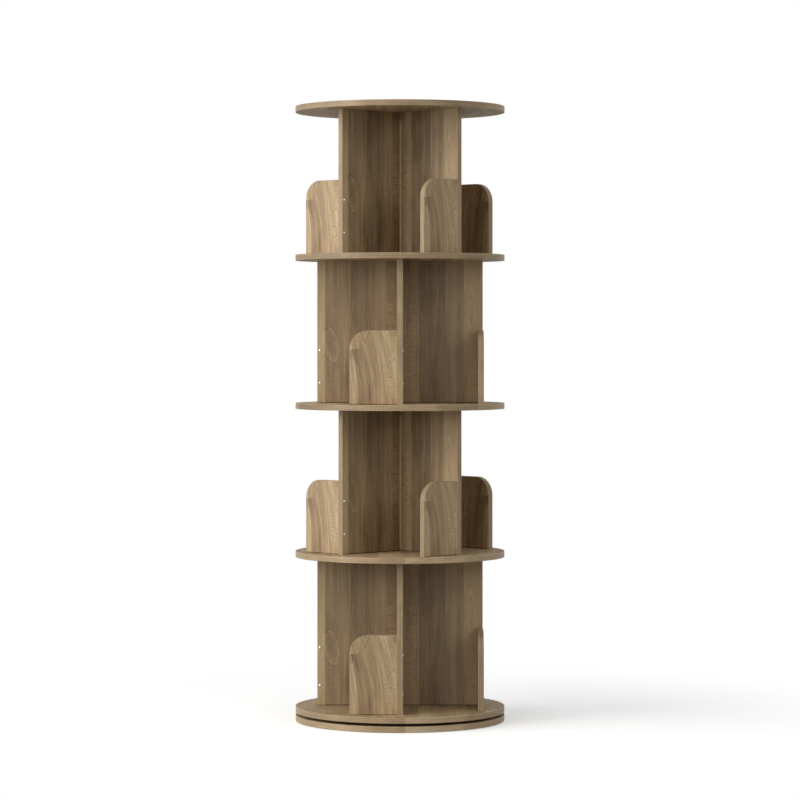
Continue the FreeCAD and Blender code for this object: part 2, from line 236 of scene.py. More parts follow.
def growth_rings(tree, bent, broad, heart, taper, eye):
    """Rings round a stave's heart, which close round its eye where they taper."""
    grain = add(tree, "ShaderNodeSeparateXYZ", {"Vector": bent})
    side = add(tree, "ShaderNodeMath", {0: grain.outputs["X"], 1: heart}, operation="SUBTRACT")
    climb = add(tree, "ShaderNodeMath", {0: grain.outputs["Z"], 1: eye}, operation="SUBTRACT")
    rise = add(tree, "ShaderNodeMath", {0: climb, 1: taper}, operation="MULTIPLY")
    from_heart = add(tree, "ShaderNodeCombineXYZ", {"X": side, "Y": rise})
    radius = add(tree, "ShaderNodeVectorMath", {0: from_heart}, operation="LENGTH").outputs["Value"]
    radius = add(tree, "ShaderNodeMath", {0: broad, 1: RING_PUSH, 2: radius}, operation="MULTIPLY_ADD")
    return add(tree, "ShaderNodeTexNoise", {"W": radius, "Scale": 1 / RING_SPACING, "Detail": 2.0,
                                            "Roughness": ROUGH_LAYERS}, noise_dimensions="1D")


def draw_flecks(tree, value, flat, bent, crooked, fleck_places):
    """Draws ray flecks into the tone. They curl across the grain, in patches and in these places."""
    spread = add(tree, "ShaderNodeMapping", {"Vector": crooked, "Scale": per_mm(FLECK_SIZE)})
    fleck = add(tree, "ShaderNodeTexNoise", {"Vector": spread, "Scale": 1.0, "Detail": 2.0,
                                             "Roughness": ROUGH_LAYERS})
    spread = add(tree, "ShaderNodeMapping", {"Vector": bent, "Scale": per_mm(FLECK_PATCH_SIZE)})
    cover = add(tree, "ShaderNodeTexNoise", {"Vector": spread, "Scale": 1.0, "Detail": 1.0})
    cover = add(tree, "ShaderNodeMapRange", {"Value": cover, "From Min": FLECK_PATCH_RIM,
                                             "From Max": FLECK_PATCH_INSIDE, "To Max": FLECK_PATCH_STRENGTH})
    for place in fleck_places:
        local = add(tree, "ShaderNodeMapping", {"Vector": flat, "Location": place["middle"],
                                                "Scale": place["half_size"]}, vector_type="TEXTURE")
        away = add(tree, "ShaderNodeVectorMath", {0: local}, operation="LENGTH").outputs["Value"]
        here = add(tree, "ShaderNodeMapRange",
                   {"Value": away, "From Min": 1.0, "From Max": FLECK_PLACE_INSIDE,
                    "To Max": place["strength"]})
        cover = add(tree, "ShaderNodeMath", {0: cover, 1: here}, operation="MAXIMUM")
    fleck = add(tree, "ShaderNodeMath", {0: fleck, 1: NEUTRAL}, operation="SUBTRACT")
    return add(tree, "ShaderNodeMath", {0: fleck, 1: cover, 2: value}, operation="MULTIPLY_ADD")


def draw_mark(tree, value, flat, crooked, middle, half_size, profile, lean, shape):
    """Draws one mark into the tone. A round one is lumpy, and the others lie flat."""
    at = flat
    if shape == "round":
        at = crooked
        # The lumps push by half their reach on average, so the mark's middle goes with them
        middle = [place + push / 2 for place, push in zip(middle, LUMP_PUSH)]
    local = add(tree, "ShaderNodeMapping", {"Vector": at, "Location": middle, "Rotation": lean,
                                            "Scale": half_size}, vector_type="TEXTURE")
    if shape == "round":
        away = add(tree, "ShaderNodeVectorMath", {0: local}, operation="LENGTH").outputs["Value"]
    else:
        spread = add(tree, "ShaderNodeVectorMath", {0: local}, operation="ABSOLUTE")
        spread = add(tree, "ShaderNodeSeparateXYZ", {"Vector": spread})
        away = add(tree, "ShaderNodeMath", {0: spread.outputs["X"], 1: spread.outputs["Z"]},
                   operation="MAXIMUM" if shape == "square" else "ADD")
    change = add(tree, "ShaderNodeValToRGB", {"Fac": away}, stops=greys(profile))
    return add(tree, "ShaderNodeMath", {0: change.outputs["Color"], 1: value}, operation="ADD")


def oak_decor(name, origin, turn, staves, marks=(), fleck_places=(), bow=0.0, strength=1.0, shift=0.0,
              roughness=BOARD_ROUGHNESS, tones=OAK_TONES):
    """Printed oak on one board, with the print's own origin in metres and its turn.

    In the print, X runs across the grain, Y through the board and Z along the grain, in mm.
    bow bends the staves: they move sideways by bow times the square of the way along the grain.
    strength is how strongly the streaks and rings show, and shift makes the whole print lighter.
    tones are the print's colours from dark to light.
    """
    material = new_material(name)
    tree = material.node_tree
    surface = add(tree, "ShaderNodeTexCoord")
    flat = add(tree, "ShaderNodeMapping", {"Vector": surface.outputs["Object"], "Location": origin,
                                           "Rotation": turn, "Scale": (MM, MM, MM)}, vector_type="TEXTURE")
    way = add(tree, "ShaderNodeSeparateXYZ", {"Vector": flat})
    along = way.outputs["Z"]
    square_along = add(tree, "ShaderNodeMath", {0: along, 1: along}, operation="MULTIPLY")
    across = add(tree, "ShaderNodeMath", {0: square_along, 1: bow, 2: way.outputs["X"]},
                 operation="MULTIPLY_ADD")
    tone, heart, taper, eye = stave_facts(tree, across, staves)

    # The grain wavers by a few millimetres, so no streak is ruled, and each stave has grain of its own
    slow = add(tree, "ShaderNodeMapping", {"Vector": flat, "Scale": per_mm(WAVER_SIZE)})
    waver = add(tree, "ShaderNodeTexNoise", {"Vector": slow, "Scale": 1.0, "Detail": 1.0})
    own_slice = add(tree, "ShaderNodeMath", {0: way.outputs["Y"], 1: heart}, operation="ADD")
    laid = add(tree, "ShaderNodeCombineXYZ", {"X": across, "Y": own_slice, "Z": along})
    bent = add(tree, "ShaderNodeVectorMath", {0: waver.outputs["Color"], 1: (WAVER_PUSH, 0, 0), 2: laid},
               operation="MULTIPLY_ADD")
    short = add(tree, "ShaderNodeMapping", {"Vector": flat, "Scale": per_mm(LUMP_SIZE)})
    lumps = add(tree, "ShaderNodeTexNoise", {"Vector": short, "Scale": 1.0, "Detail": 1.0})
    crooked = add(tree, "ShaderNodeVectorMath", {0: lumps.outputs["Color"], 1: LUMP_PUSH, 2: flat},
                  operation="MULTIPLY_ADD")

    # The tone adds up from the stave, its streaks, rings and flecks, the pores and the marks
    weights = RING_WEIGHT + sum(weight for _, _, weight in GRAIN.values())
    middle = -NEUTRAL * (strength * weights + len(marks))
    value = add(tree, "ShaderNodeMath", {0: tone, 1: middle + shift}, operation="ADD")
    fields = {}
    for field, (size, detail, weight) in GRAIN.items():
        spread = add(tree, "ShaderNodeMapping", {"Vector": bent, "Scale": per_mm(size)})
        fields[field] = add(tree, "ShaderNodeTexNoise", {"Vector": spread, "Scale": 1.0, "Detail": detail})
        value = add(tree, "ShaderNodeMath", {0: fields[field], 1: weight * strength, 2: value},
                    operation="MULTIPLY_ADD")
    rings = growth_rings(tree, bent, fields["broad"], heart, taper, eye)
    value = add(tree, "ShaderNodeMath", {0: rings, 1: RING_WEIGHT * strength, 2: value},
                operation="MULTIPLY_ADD")
    value = draw_flecks(tree, value, flat, bent, crooked, fleck_places)

    # Pores are dark dashes pressed into the face
    spread = add(tree, "ShaderNodeMapping", {"Vector": bent, "Scale": per_mm(PORE_SIZE)})
    pore = add(tree, "ShaderNodeTexNoise", {"Vector": spread, "Scale": 1.0, "Detail": 1.0})
    pore = add(tree, "ShaderNodeMapRange", {"Value": pore, "From Min": PORE_RIM, "From Max": PORE_INSIDE})
    value = add(tree, "ShaderNodeMath", {0: pore, 1: BOARD_PORE_SHADE, 2: value}, operation="MULTIPLY_ADD")
    for each in marks:
        value = draw_mark(tree, value, flat, crooked, **each)

    colour = add(tree, "ShaderNodeValToRGB", {"Fac": value}, stops=tones)
    spread = add(tree, "ShaderNodeMapping", {"Vector": bent, "Scale": per_mm(TINT_SIZE)})
    tint = add(tree, "ShaderNodeTexNoise", {"Vector": spread, "Scale": 1.0, "Detail": 1.0})
    tint = add(tree, "ShaderNodeValToRGB", {"Fac": tint}, stops=OAK_TINTS)
    tinted = add(tree, "ShaderNodeMix", {"Factor": TINT_STRENGTH, "A": colour, "B": tint}, data_type="RGBA",
                 blend_type="MULTIPLY")
    rough = add(tree, "ShaderNodeMapRange",
                {"Value": fields["fine"], "From Min": NOISE_SWING[0], "From Max": NOISE_SWING[1],
                 "To Min": roughness - ROUGHNESS_SPREAD, "To Max": roughness + ROUGHNESS_SPREAD})
    relief = add(tree, "ShaderNodeMath", {0: pore, 1: BOARD_PORE_DEPTH, 2: fields["fine"]},
                 operation="MULTIPLY_ADD")
    bump = add(tree, "ShaderNodeBump", {"Strength": BOARD_RELIEF_STRENGTH, "Distance": BOARD_RELIEF * MM,
                                        "Height": relief})
    shader = add(tree, "ShaderNodeBsdfPrincipled", {"Base Color": tinted.outputs["Result"],
                                                    "Roughness": rough, "IOR": MELAMINE_IOR, "Normal": bump})
    add(tree, "ShaderNodeOutputMaterial", {"Surface": shader})
    return material


# Upright boards: the crosses and the stops

# A thin dark line runs along the foot of every upright board: the dark joint there, darkened further as
# painted contact shade. Its height in mm and its shade
CONTACT_SHADE_HEIGHT = 2.0
CONTACT_SHADE_DEPTH = -0.60

# The same print lies on every divider, with zero at the turning axis and the tier's floor
CROSS_STAVES = [
    stave(-180, 0.72, -150),
    stave(-163, 0.45, -148, 0.10, 118),
    stave(-121, 0.41, -190, 0.05, 160),
    stave(-107, 0.345, -330, 0.02),
    stave(-54.5, 0.455, -300, 0.03, 300),
    stave(-30, 0.395, -20, 0.05, 60),
    stave(-6, 0.45, 60, 0.02, 100),
    stave(18, 0.525, 120, 0.04, 150),
    stave(41, 0.29, 300, 0.02),
    stave(97, 0.41, 240, 0.03),
    stave(137, 0.635, 158, 0.16, 210),
    stave(180, 0.50),
]
CROSS_FLECKS = [flecks(-21, 130, 14, 150, 0.75), flecks(24, 140, 18, 130, 0.6), flecks(-142, 70, 20, 60, 0.3),
                flecks(158, 60, 16, 50, 0.4)]
CROSS_STRENGTH = 1.2
# How far the dark stave end at the middle reaches down from each tier's top, in mm
STAVE_END_DEPTH = {"tier_1": 15, "tier_2": 12, "tier_3": 15, "tier_4": 17}
# The pale line down each inner corner of a turned cross: its half width in mm and its shade
CORNER_LINE = 7.6
CORNER_SHADE = 0.90

# The stops' print starts at the free edge and the tier's floor
STOP_STAVES = [
    stave(-30, 0.72, -60, 0.05),
    stave(18, 0.505, -110, 0.12, -330),
    stave(44, 0.56, -110, 0.12, -330),
    stave(67, 0.76, -120, 0.10, -330),
    stave(70.5, 0.67, -140, 0.10, -330),
    stave(82, 0.71, 92, 0.30, 70),
    stave(145, 0.6),
]
STOP_BOW = 0.0009
STOP_STRENGTH = 1.9
# Where the stops' print starts: how far out the stops stand, and how far their free edge lies
# from the middle of their arm, in mm
STOP_REACH = 178
STOP_FREE_SIDE = 106.25

# How much lighter the crosses and stops of each tier are: painted light and shade, so that the tiers
# look more evenly lit than the lamps light them
TIER_PAINTED_LIGHT = {"tier_1": (0.055, 0.03), "tier_2": (0.012, 0.035), "tier_3": (0.06, 0.02),
               "tier_4": (-0.018, 0.0)}


def cross_marks(height, stave_end, turned):
    """Marks of a divider's print, of which some hang from the tier's top."""
    marks = [
        mark(-148, 125, 17, 42, EYE, lean=-12),
        mark(-158, 157, 5, 6.5, KNOT),
        mark(-165, 100, 3, 4, KNOT),
        mark(162, 40, 4, 5, KNOT),
        mark(-20, 70, 3, 4.5, KNOT),
        mark(152, 205, 13, 70, FAINT_ARCHES),
        mark(-18, height, 12, stave_end, patch(-0.10), shape="square"),
        mark(12, height, 9, stave_end, patch(-0.08), shape="square"),
        # painted contact shade along the foot, over the dark joint
        mark(0, 0, 200, CONTACT_SHADE_HEIGHT, patch(CONTACT_SHADE_DEPTH), shape="square"),
    ]
    if turned:
        # The pale line ends where the dark stave end starts
        middle = (height - stave_end) / 2
        marks.append(mark(0.5, middle, CORNER_LINE, middle, patch(CORNER_SHADE), shape="square"))
    return marks


def stop_marks(height):
    """Marks of a stop's print, which hang from its top or stand on its foot."""
    return [
        mark(33, height, 11, 31, ARCHES, shape="pointed"),
        mark(9, height - 20, 12.5, 19, patch(0.20), shape="square"),
        mark(2, height - 49, 6.5, 10, patch(-0.20), shape="square"),
        mark(14, height - 60, 2.4, 26, streak(-0.20), lean=-27),
        mark(38, 42, 2.4, 48, streak(-0.18), lean=-11),
        mark(46, 30, 1.8, 34, streak(-0.14), lean=-9),
        mark(27, 52, 1.7, 34, streak(-0.16), lean=-9),
        mark(33, 60, 1.5, 40, streak(0.12), lean=-12),
        mark(24, 4, 5, 20, streak(-0.10), lean=-6),
        mark(50, 98, 1.8, 34, streak(0.14), lean=-13),
        mark(56, 60, 1.4, 30, streak(-0.12), lean=-7),
        mark(73, 80, 1.5, 7, streak(-0.20)),
        mark(95, height - 7, 4.6, 6, patch(-0.12), shape="square"),
        mark(96, 6, 5.6, 8, patch(-0.12), shape="square"),
        mark(92, height - 8, 13, 46, FAINT_ARCHES, lean=5, shape="pointed"),
        # painted contact shade along the foot, over the dark joint
        mark(50, 0, 100, CONTACT_SHADE_HEIGHT, patch(CONTACT_SHADE_DEPTH), shape="square"),
    ]


def stop_flecks(height):
    """Places of a stop's print with strong flecks."""
    return [flecks(88, 68, 23, 54, 1.1), flecks(12, height - 26, 11, 15, 0.5), flecks(5, 40, 10, 42, 0.7)]


def cross_oak(name, floor, heading, marks, shift):
    """The print of one divider, turned to its heading in degrees."""
    return oak_decor(name, (0, 0, floor), (0, 0, math.radians(heading)), CROSS_STAVES, marks, CROSS_FLECKS,
                     strength=CROSS_STRENGTH, shift=shift)


def stop_oak(name, floor, heading, height, shift):
    """The print of one stop. Its free edge lies clockwise of its arm's end, seen from above."""
    around = math.radians(heading)
    reach = STOP_REACH * MM
    free_side = STOP_FREE_SIDE * MM
    origin = (reach * math.cos(around) + free_side * math.sin(around),
              reach * math.sin(around) - free_side * math.cos(around), floor)
    return oak_decor(name, origin, (0, 0, around + math.radians(90)), STOP_STAVES, stop_marks(height),
                     stop_flecks(height), STOP_BOW, STOP_STRENGTH, shift, tones=STOP_TONES)


def dress_tier(tier, turn, below, above):
    """Dresses the cross and the stops that stand between two round boards."""
    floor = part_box(below)[1][2]
    height = (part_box(above)[0][2] - floor) / MM
    # each tier's painted light and shade for its cross and its stops
    cross_light_shift, stop_light_shift = TIER_PAINTED_LIGHT[tier]
    marks = cross_marks(height, STAVE_END_DEPTH[tier], turn != 0)
    dress(cross_oak(tier + "_through_oak", floor, turn, marks, cross_light_shift), tier + "_through_divider")
    # The two halves stand square to the through divider, one on each side
    halves = [word for word, heading in HEADINGS.items() if heading in (90 + turn, 270 + turn)]
    for word in halves:
        half = cross_oak("%s_half_oak_%s" % (tier, word), floor, HEADINGS[word], marks, cross_light_shift)
        dress(half, "%s_half_divider_%s" % (tier, word))

    arms = [word for word, heading in HEADINGS.items() if heading % 90 == turn]
    for word in arms:
        stop = "%s_stop_%s" % (tier, word)
        stop_height = (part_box(stop)[1][2] - floor) / MM
        dress(stop_oak("%s_stop_oak_%s" % (tier, word), floor, HEADINGS[word], stop_height, stop_light_shift), stop)


for index, (tier, turn) in enumerate(TIER_TURNS.items()):
    dress_tier(tier, turn, BOARDS[index + 1], BOARDS[index + 2])


# Round boards: staves of mixed tone, with the grain from front to back

ROUND_STAVE_TONES = (0.48, 0.55, 0.61, 0.68)
ROUND_STAVE_TAPERS = (0.0, 0.05, 0.12)
# Where staves start, in mm, and how wide they may be
ROUND_FIRST_START = -245.0
ROUND_STARTS_BELOW = 240
ROUND_LAST_START = 260
ROUND_STAVE_WIDTHS = (22, 48)
# How far hearts, eyes and knots may lie from the print's middle, and the half size of a knot, in mm
HEARTS_WITHIN = 300
EYES_WITHIN = 200
KNOTS_WITHIN = 150
ROUND_KNOT = (4, 6)
ROUND_STRENGTH = 1.3
ROUND_ROUGHNESS = 0.66
ROUND_SEED = 11


def mixed_staves(rng):
    """The staves of one round board."""
    staves = []
    start = ROUND_FIRST_START
    while start < ROUND_STARTS_BELOW:
        tone = rng.choice(ROUND_STAVE_TONES)
        heart = rng.uniform(-HEARTS_WITHIN, HEARTS_WITHIN)
        taper = rng.choice(ROUND_STAVE_TAPERS)
        eye = rng.uniform(-EYES_WITHIN, EYES_WITHIN)
        staves.append(stave(start, tone, heart, taper, eye))
        start += rng.uniform(*ROUND_STAVE_WIDTHS)
    staves.append(stave(ROUND_LAST_START, 0.5))
    return staves


rng = random.Random(ROUND_SEED)
for board in BOARDS:
    staves = mixed_staves(rng)
    knot_across = rng.uniform(-KNOTS_WITHIN, KNOTS_WITHIN)
    knot_along = rng.uniform(-KNOTS_WITHIN, KNOTS_WITHIN)
    knots = [mark(knot_across, knot_along, *ROUND_KNOT, KNOT)]
    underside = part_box(board)[0][2]
    dress(oak_decor(board + "_oak", (0, 0, underside), (math.radians(-90), 0, 0), staves, knots,
                    strength=ROUND_STRENGTH, roughness=ROUND_ROUGHNESS), board)


# Edge bands
# A thin strip of the same decor, glued round the boards: streaks run along it, with fine pores.

# The strip's grain: the width and length of a streak in mm, the noise's detail, and its weight
BAND_GRAIN = {
    "broad": (3.6, 80, 1.0, 0.40),
    "fine": (1.3, 35, 2.0, 0.28),
    "cloud": (30, 30, 1.0, 0.20),
}
BAND_PORE_SIZE = (0.5, 7)
BAND_PORE_SHADE = -0.08
BAND_ROUGHNESS = 0.51
BAND_RELIEF_STRENGTH = 0.3
BAND_RELIEF = 0.08
BAND_PORE_DEPTH = -1.0
# Which of X, Y and Z the streaks run along, for each way that a strip lies
STREAK_WAYS = {"level": (True, True, False), "upright": (False, False, True), "over": (False, True, True)}

# A board's strip starts and ends in a butt joint. This is how its tone drifts on the way round, with
# each place a share of the way and the joint at JOINT. Past it the strip is lighter by the step.
STRIP_DRIFT = [(0.0, 0.5), (0.433, 0.5), (0.483, 0.46), (0.4965, 0.425),
               (0.591, 0.445), (0.605, 0.255), (0.743, 0.245), (0.893, 0.285)]
JOINT = 0.5
JOINT_STEP = 0.215
# A lighter or darker place is even over this share of its half width, and fades out from there
PLACE_INSIDE = 0.3
# A painted highlight along the upper lip of a board's strip, where its rounded edge would catch the
# light: its height and its soft edge in mm, and how much lighter it is
LIP_HIGHLIGHT_HEIGHT = 1.8
LIP_HIGHLIGHT_EDGE = 0.3
LIP_PAINTED_HIGHLIGHT = 0.11


def strip_scale(width, length, run):
    """The scale of a pattern on a strip that lies this way, from its size in mm."""
    return per_mm([length if is_long else width for is_long in STREAK_WAYS[run]])


def draw_round_strip(tree, value, spot, at, top, joint_at, tone_and_highlight_places):
    """Draws into a board's strip its drift, its step at the joint, its lighter and darker places and a
    painted highlight along its upper lip.

    spot is a point of the strip in metres, and at is the same point in mm.
    """
    spread = add(tree, "ShaderNodeSeparateXYZ", {"Vector": spot})
    right = spread.outputs["X"]
    ahead = add(tree, "ShaderNodeMath", {0: spread.outputs["Y"], 1: -1.0}, operation="MULTIPLY")
    round_way = add(tree, "ShaderNodeMath", {0: right, 1: ahead}, operation="ARCTAN2")
    share = add(tree, "ShaderNodeMapRange",
                {"Value": round_way, "From Min": -math.pi, "From Max": math.pi,
                 "To Min": -joint_at / FULL_TURN, "To Max": 1 - joint_at / FULL_TURN})
    share = add(tree, "ShaderNodeMath", {0: share}, operation="FRACT")
    drift = add(tree, "ShaderNodeValToRGB", {"Fac": share}, stops=greys(STRIP_DRIFT))
    value = add(tree, "ShaderNodeMath", {0: drift.outputs["Color"], 1: value}, operation="ADD")
    value = add(tree, "ShaderNodeMath", {0: value, 1: NEUTRAL}, operation="SUBTRACT")
    past_joint = add(tree, "ShaderNodeMath", {0: share, 1: JOINT}, operation="GREATER_THAN")
    value = add(tree, "ShaderNodeMath", {0: past_joint, 1: JOINT_STEP, 2: value}, operation="MULTIPLY_ADD")
    for middle_at, half_width, change in tone_and_highlight_places:
        off = add(tree, "ShaderNodeMath", {0: right, 1: middle_at * MM}, operation="SUBTRACT")
        off = add(tree, "ShaderNodeMath", {0: off}, operation="ABSOLUTE")
        here = add(tree, "ShaderNodeMapRange",
                   {"Value": off, "From Min": half_width * MM, "From Max": PLACE_INSIDE * half_width * MM,
                    "To Max": change}, interpolation_type="SMOOTHSTEP")
        value = add(tree, "ShaderNodeMath", {0: value, 1: here}, operation="ADD")
    height = add(tree, "ShaderNodeSeparateXYZ", {"Vector": at})
    # a painted highlight along the strip's upper lip
    highlight_foot = top / MM - LIP_HIGHLIGHT_HEIGHT
    lip_highlight = add(tree, "ShaderNodeMapRange", {"Value": height.outputs["Z"], "From Min": highlight_foot,
                                           "From Max": highlight_foot + LIP_HIGHLIGHT_EDGE, "To Max": LIP_PAINTED_HIGHLIGHT})
    return add(tree, "ShaderNodeMath", {0: value, 1: lip_highlight}, operation="ADD")


def oak_band(name, run, turn, tone, top=0.0, joint_at=0, tone_and_highlight_places=()):
    """The printed strip on an edge.

    run is the way that it lies: "level" round a board, "upright" on an arm's end, or "over" a
    stop, up its free side and along its top. turn is the tier's turn, or the print's, and tone
    is how light the strip is. Only a level strip has the rest: top is the height of its board's
    upper face in metres, joint_at says how far its butt joint lies right of the front, in
    degrees, and places are its lighter and darker places, of which the lighter ones near the
    right rim are painted highlight.
    """
    material = new_material(name)
    tree = material.node_tree
    surface = add(tree, "ShaderNodeTexCoord")
    spot = surface.outputs["Object"]
    at = add(tree, "ShaderNodeMapping", {"Vector": spot, "Rotation": (0, 0, -turn),
                                         "Scale": (1 / MM, 1 / MM, 1 / MM)})
    if run == "over":
        # X becomes the way through the stop, whichever arm carries it
        spread = add(tree, "ShaderNodeVectorMath", {0: at}, operation="ABSOLUTE")
        spread = add(tree, "ShaderNodeSeparateXYZ", {"Vector": spread})
        sides = {0: spread.outputs["X"], 1: spread.outputs["Y"]}
        out = add(tree, "ShaderNodeMath", sides, operation="MAXIMUM")
        aside = add(tree, "ShaderNodeMath", sides, operation="MINIMUM")
        at = add(tree, "ShaderNodeCombineXYZ", {"X": out, "Y": aside, "Z": spread.outputs["Z"]})

    weights = sum(weight for _, _, _, weight in BAND_GRAIN.values())
    value = tone - NEUTRAL * weights
    fields = {}
    for field, (width, length, detail, weight) in BAND_GRAIN.items():
        spread = add(tree, "ShaderNodeMapping", {"Vector": at, "Scale": strip_scale(width, length, run)})
        fields[field] = add(tree, "ShaderNodeTexNoise", {"Vector": spread, "Scale": 1.0, "Detail": detail})
        value = add(tree, "ShaderNodeMath", {0: fields[field], 1: weight, 2: value}, operation="MULTIPLY_ADD")
    spread = add(tree, "ShaderNodeMapping", {"Vector": at, "Scale": strip_scale(*BAND_PORE_SIZE, run)})
    pore = add(tree, "ShaderNodeTexNoise", {"Vector": spread, "Scale": 1.0, "Detail": 1.0})
    pore = add(tree, "ShaderNodeMapRange", {"Value": pore, "From Min": PORE_RIM, "From Max": PORE_INSIDE})
    value = add(tree, "ShaderNodeMath", {0: pore, 1: BAND_PORE_SHADE, 2: value}, operation="MULTIPLY_ADD")
    if run == "level":
        value = draw_round_strip(tree, value, spot, at, top, joint_at, tone_and_highlight_places)

    colour = add(tree, "ShaderNodeValToRGB", {"Fac": value}, stops=OAK_TONES)
    rough = add(tree, "ShaderNodeMapRange",
                {"Value": fields["fine"], "From Min": NOISE_SWING[0], "From Max": NOISE_SWING[1],
                 "To Min": BAND_ROUGHNESS - ROUGHNESS_SPREAD, "To Max": BAND_ROUGHNESS + ROUGHNESS_SPREAD})
    relief = add(tree, "ShaderNodeMath", {0: pore, 1: BAND_PORE_DEPTH, 2: fields["fine"]},
                 operation="MULTIPLY_ADD")
    bump = add(tree, "ShaderNodeBump", {"Strength": BAND_RELIEF_STRENGTH, "Distance": BAND_RELIEF * MM,
                                        "Height": relief})
    shader = add(tree, "ShaderNodeBsdfPrincipled", {"Base Color": colour, "Roughness": rough,
                                                    "IOR": MELAMINE_IOR, "Normal": bump})
    add(tree, "ShaderNodeOutputMaterial", {"Surface": shader})
    return material


# Each board's strip: its tone, how far its print is turned, and how far its butt joint, which is also
# in the solid, lies right of the front, both in degrees. The upper boards' strips have darker tones as
# painted shade, for the weaker light on them. Last come its soft lighter and darker places: how far
# right of the middle they lie, their half width, both in mm, and the change of tone. The lighter places
# at 165 mm and more right of the middle are painted highlight, for light from the right.
BOARD_STRIPS = {
    "base_board": (0.72, 0, 2.5, [(-126, 45, 0.08)]),
    "floor_board": (0.65, 0, 2.5, [(-180, 45, -0.08)]),
    "shelf_2": (0.635, 0, 2.5, [(-126, 30, 0.10), (165, 75, 0.10)]),
    "shelf_3": (0.58, 45, 47, [(-190, 60, -0.19), (55, 38, 0.12)]),
    "shelf_4": (0.475, 200, 180, [(205, 50, 0.12)]),
    "top_board": (0.50, 150, 180, [(-99, 32, 0.15), (105, 50, -0.10), (205, 50, 0.14)]),
}
ARM_END_TONE = 0.58
STOP_EDGE_TONE = 0.54

for board, (tone, print_turn, joint_at, tone_and_highlight_places) in BOARD_STRIPS.items():
    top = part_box(board + "_band")[1][2]
    strip = oak_band(board + "_edge_oak", "level", math.radians(print_turn), tone, top, joint_at, tone_and_highlight_places)
    dress(strip, board + "_band")
for tier, turn in TIER_TURNS.items():
    around = math.radians(turn)
    dress(oak_band(tier + "_arm_end_oak", "upright", around, ARM_END_TONE), tier + "_divider_bands")
    dress(oak_band(tier + "_stop_edge_oak", "over", around, STOP_EDGE_TONE), tier + "_stop_bands")


# Metal, plastic, felt and raw beech
# Each is an even finish with fine grit in its colour, gloss and relief. The real grit is finer, and
# is drawn this coarse so that it shows from near by.

# How far the grit swings the roughness, and how strong its relief is
GRIT_ROUGHNESS_SPREAD = 0.06
GRIT_RELIEF_STRENGTH = 0.4


def plain_finish(name, dark, light, grit_mm, roughness, metallic=0.0, stretch=(1, 1, 1), relief_mm=0.02):
    """An even finish between two colours. stretch makes the grit longer where it is below one."""
    material = new_material(name)
    tree = material.node_tree
    surface = add(tree, "ShaderNodeTexCoord")
    scale = [s / (grit_mm * MM) for s in stretch]
    spread = add(tree, "ShaderNodeMapping", {"Vector": surface.outputs["Object"], "Scale": scale})
    grit = add(tree, "ShaderNodeTexNoise", {"Vector": spread, "Scale": 1.0, "Detail": 3.0,
                                            "Roughness": ROUGH_LAYERS})
    colour = add(tree, "ShaderNodeValToRGB", {"Fac": grit},
                 stops=[(NOISE_SWING[0], srgb(dark)), (NOISE_SWING[1], srgb(light))])
    rough = add(tree, "ShaderNodeMapRange",
                {"Value": grit, "From Min": NOISE_SWING[0], "From Max": NOISE_SWING[1],
                 "To Min": roughness - GRIT_ROUGHNESS_SPREAD, "To Max": roughness + GRIT_ROUGHNESS_SPREAD})
    bump = add(tree, "ShaderNodeBump", {"Strength": GRIT_RELIEF_STRENGTH, "Distance": relief_mm * MM,
                                        "Height": grit})
    shader = add(tree, "ShaderNodeBsdfPrincipled", {"Base Color": colour, "Roughness": rough,
                                                    "Metallic": metallic, "Normal": bump})
    add(tree, "ShaderNodeOutputMaterial", {"Surface": shader})
    return material


# Plated steel: warm and bright, so that a round head holds one clear highlight
nickel = plain_finish("nickel_plated_steel", "C9C7C1", "E2E0DA", 0.6, 0.26, metallic=1.0)
dress(nickel, "stop_screws")

# Zinc plate: greyer, with a duller and wider highlight
zinc = plain_finish("zinc_plated_steel", "A9ABAA", "C4C6C6", 0.8, 0.36, metallic=1.0)
dress(zinc, "shelf_screws", "inner_ring_screws", "outer_ring_screws")

# Aluminium as it leaves the lathe: pale and satin
aluminium = plain_finish("turned_aluminium", "B9BABD", "D0D1D3", 0.5, 0.30, metallic=1.0)
dress(aluminium, "turntable_inner_ring", "turntable_outer_ring")

# Ground and polished steel: the sharpest reflections of the part
ball_steel = plain_finish("bearing_steel", "C4C5C8", "D2D3D5", 0.5, 0.14, metallic=1.0)
dress(ball_steel, "turntable_balls")

# Moulded nylon: near black, with a broad soft sheen
nylon = plain_finish("moulded_nylon", "1E1E1F", "2A2A2B", 0.4, 0.55)
dress(nylon, "turntable_cage")

# Moulded caps in the colour of the decor, a little smoother than the boards
cap_plastic = plain_finish("moulded_cap_plastic", "A98C66", "B89B75", 0.5, 0.48)
dress(cap_plastic, "screw_caps")

# Pressed felt: dark and dull, with a deep nap
felt = plain_finish("pressed_felt", "24211F", "3A3633", 0.35, 0.92, relief_mm=0.2)
dress(felt, "base_pads")

# Raw beech: pale and dry, with fibres that run upright, as most of the dowels do
beech = plain_finish("raw_beech", "B98F63", "D0A97C", 1.2, 0.62, stretch=(1, 1, 0.06))
dress(beech, "dowels")


# Studio: a pale floor that runs out to white, a white surround and soft lamps

# The floor's side, in metres
FLOOR_SIZE = 160
# The floor's colour as it lights the bookcase and as it is seen
FLOOR_BOUNCE = srgb("8F8C86")
FLOOR_PALE = srgb("F4F4F3")
# How far off, in metres, the floor starts to turn to plain white, and where it is white
FLOOR_FADE_FROM = 0.5
FLOOR_FADE_TO = 1.2
# Painted contact shade round the base: up to how far off the floor glows less, and from how far off
# it glows fully, in metres, and how much it glows at each
FLOOR_SHADE_TO = 0.22
FLOOR_BRIGHT_FROM = 0.42
FLOOR_SHADED_GLOW = 0.43
FLOOR_BRIGHT_GLOW = 0.505
WHITE = (1, 1, 1, 1)
SURROUND_STRENGTH = 0.22
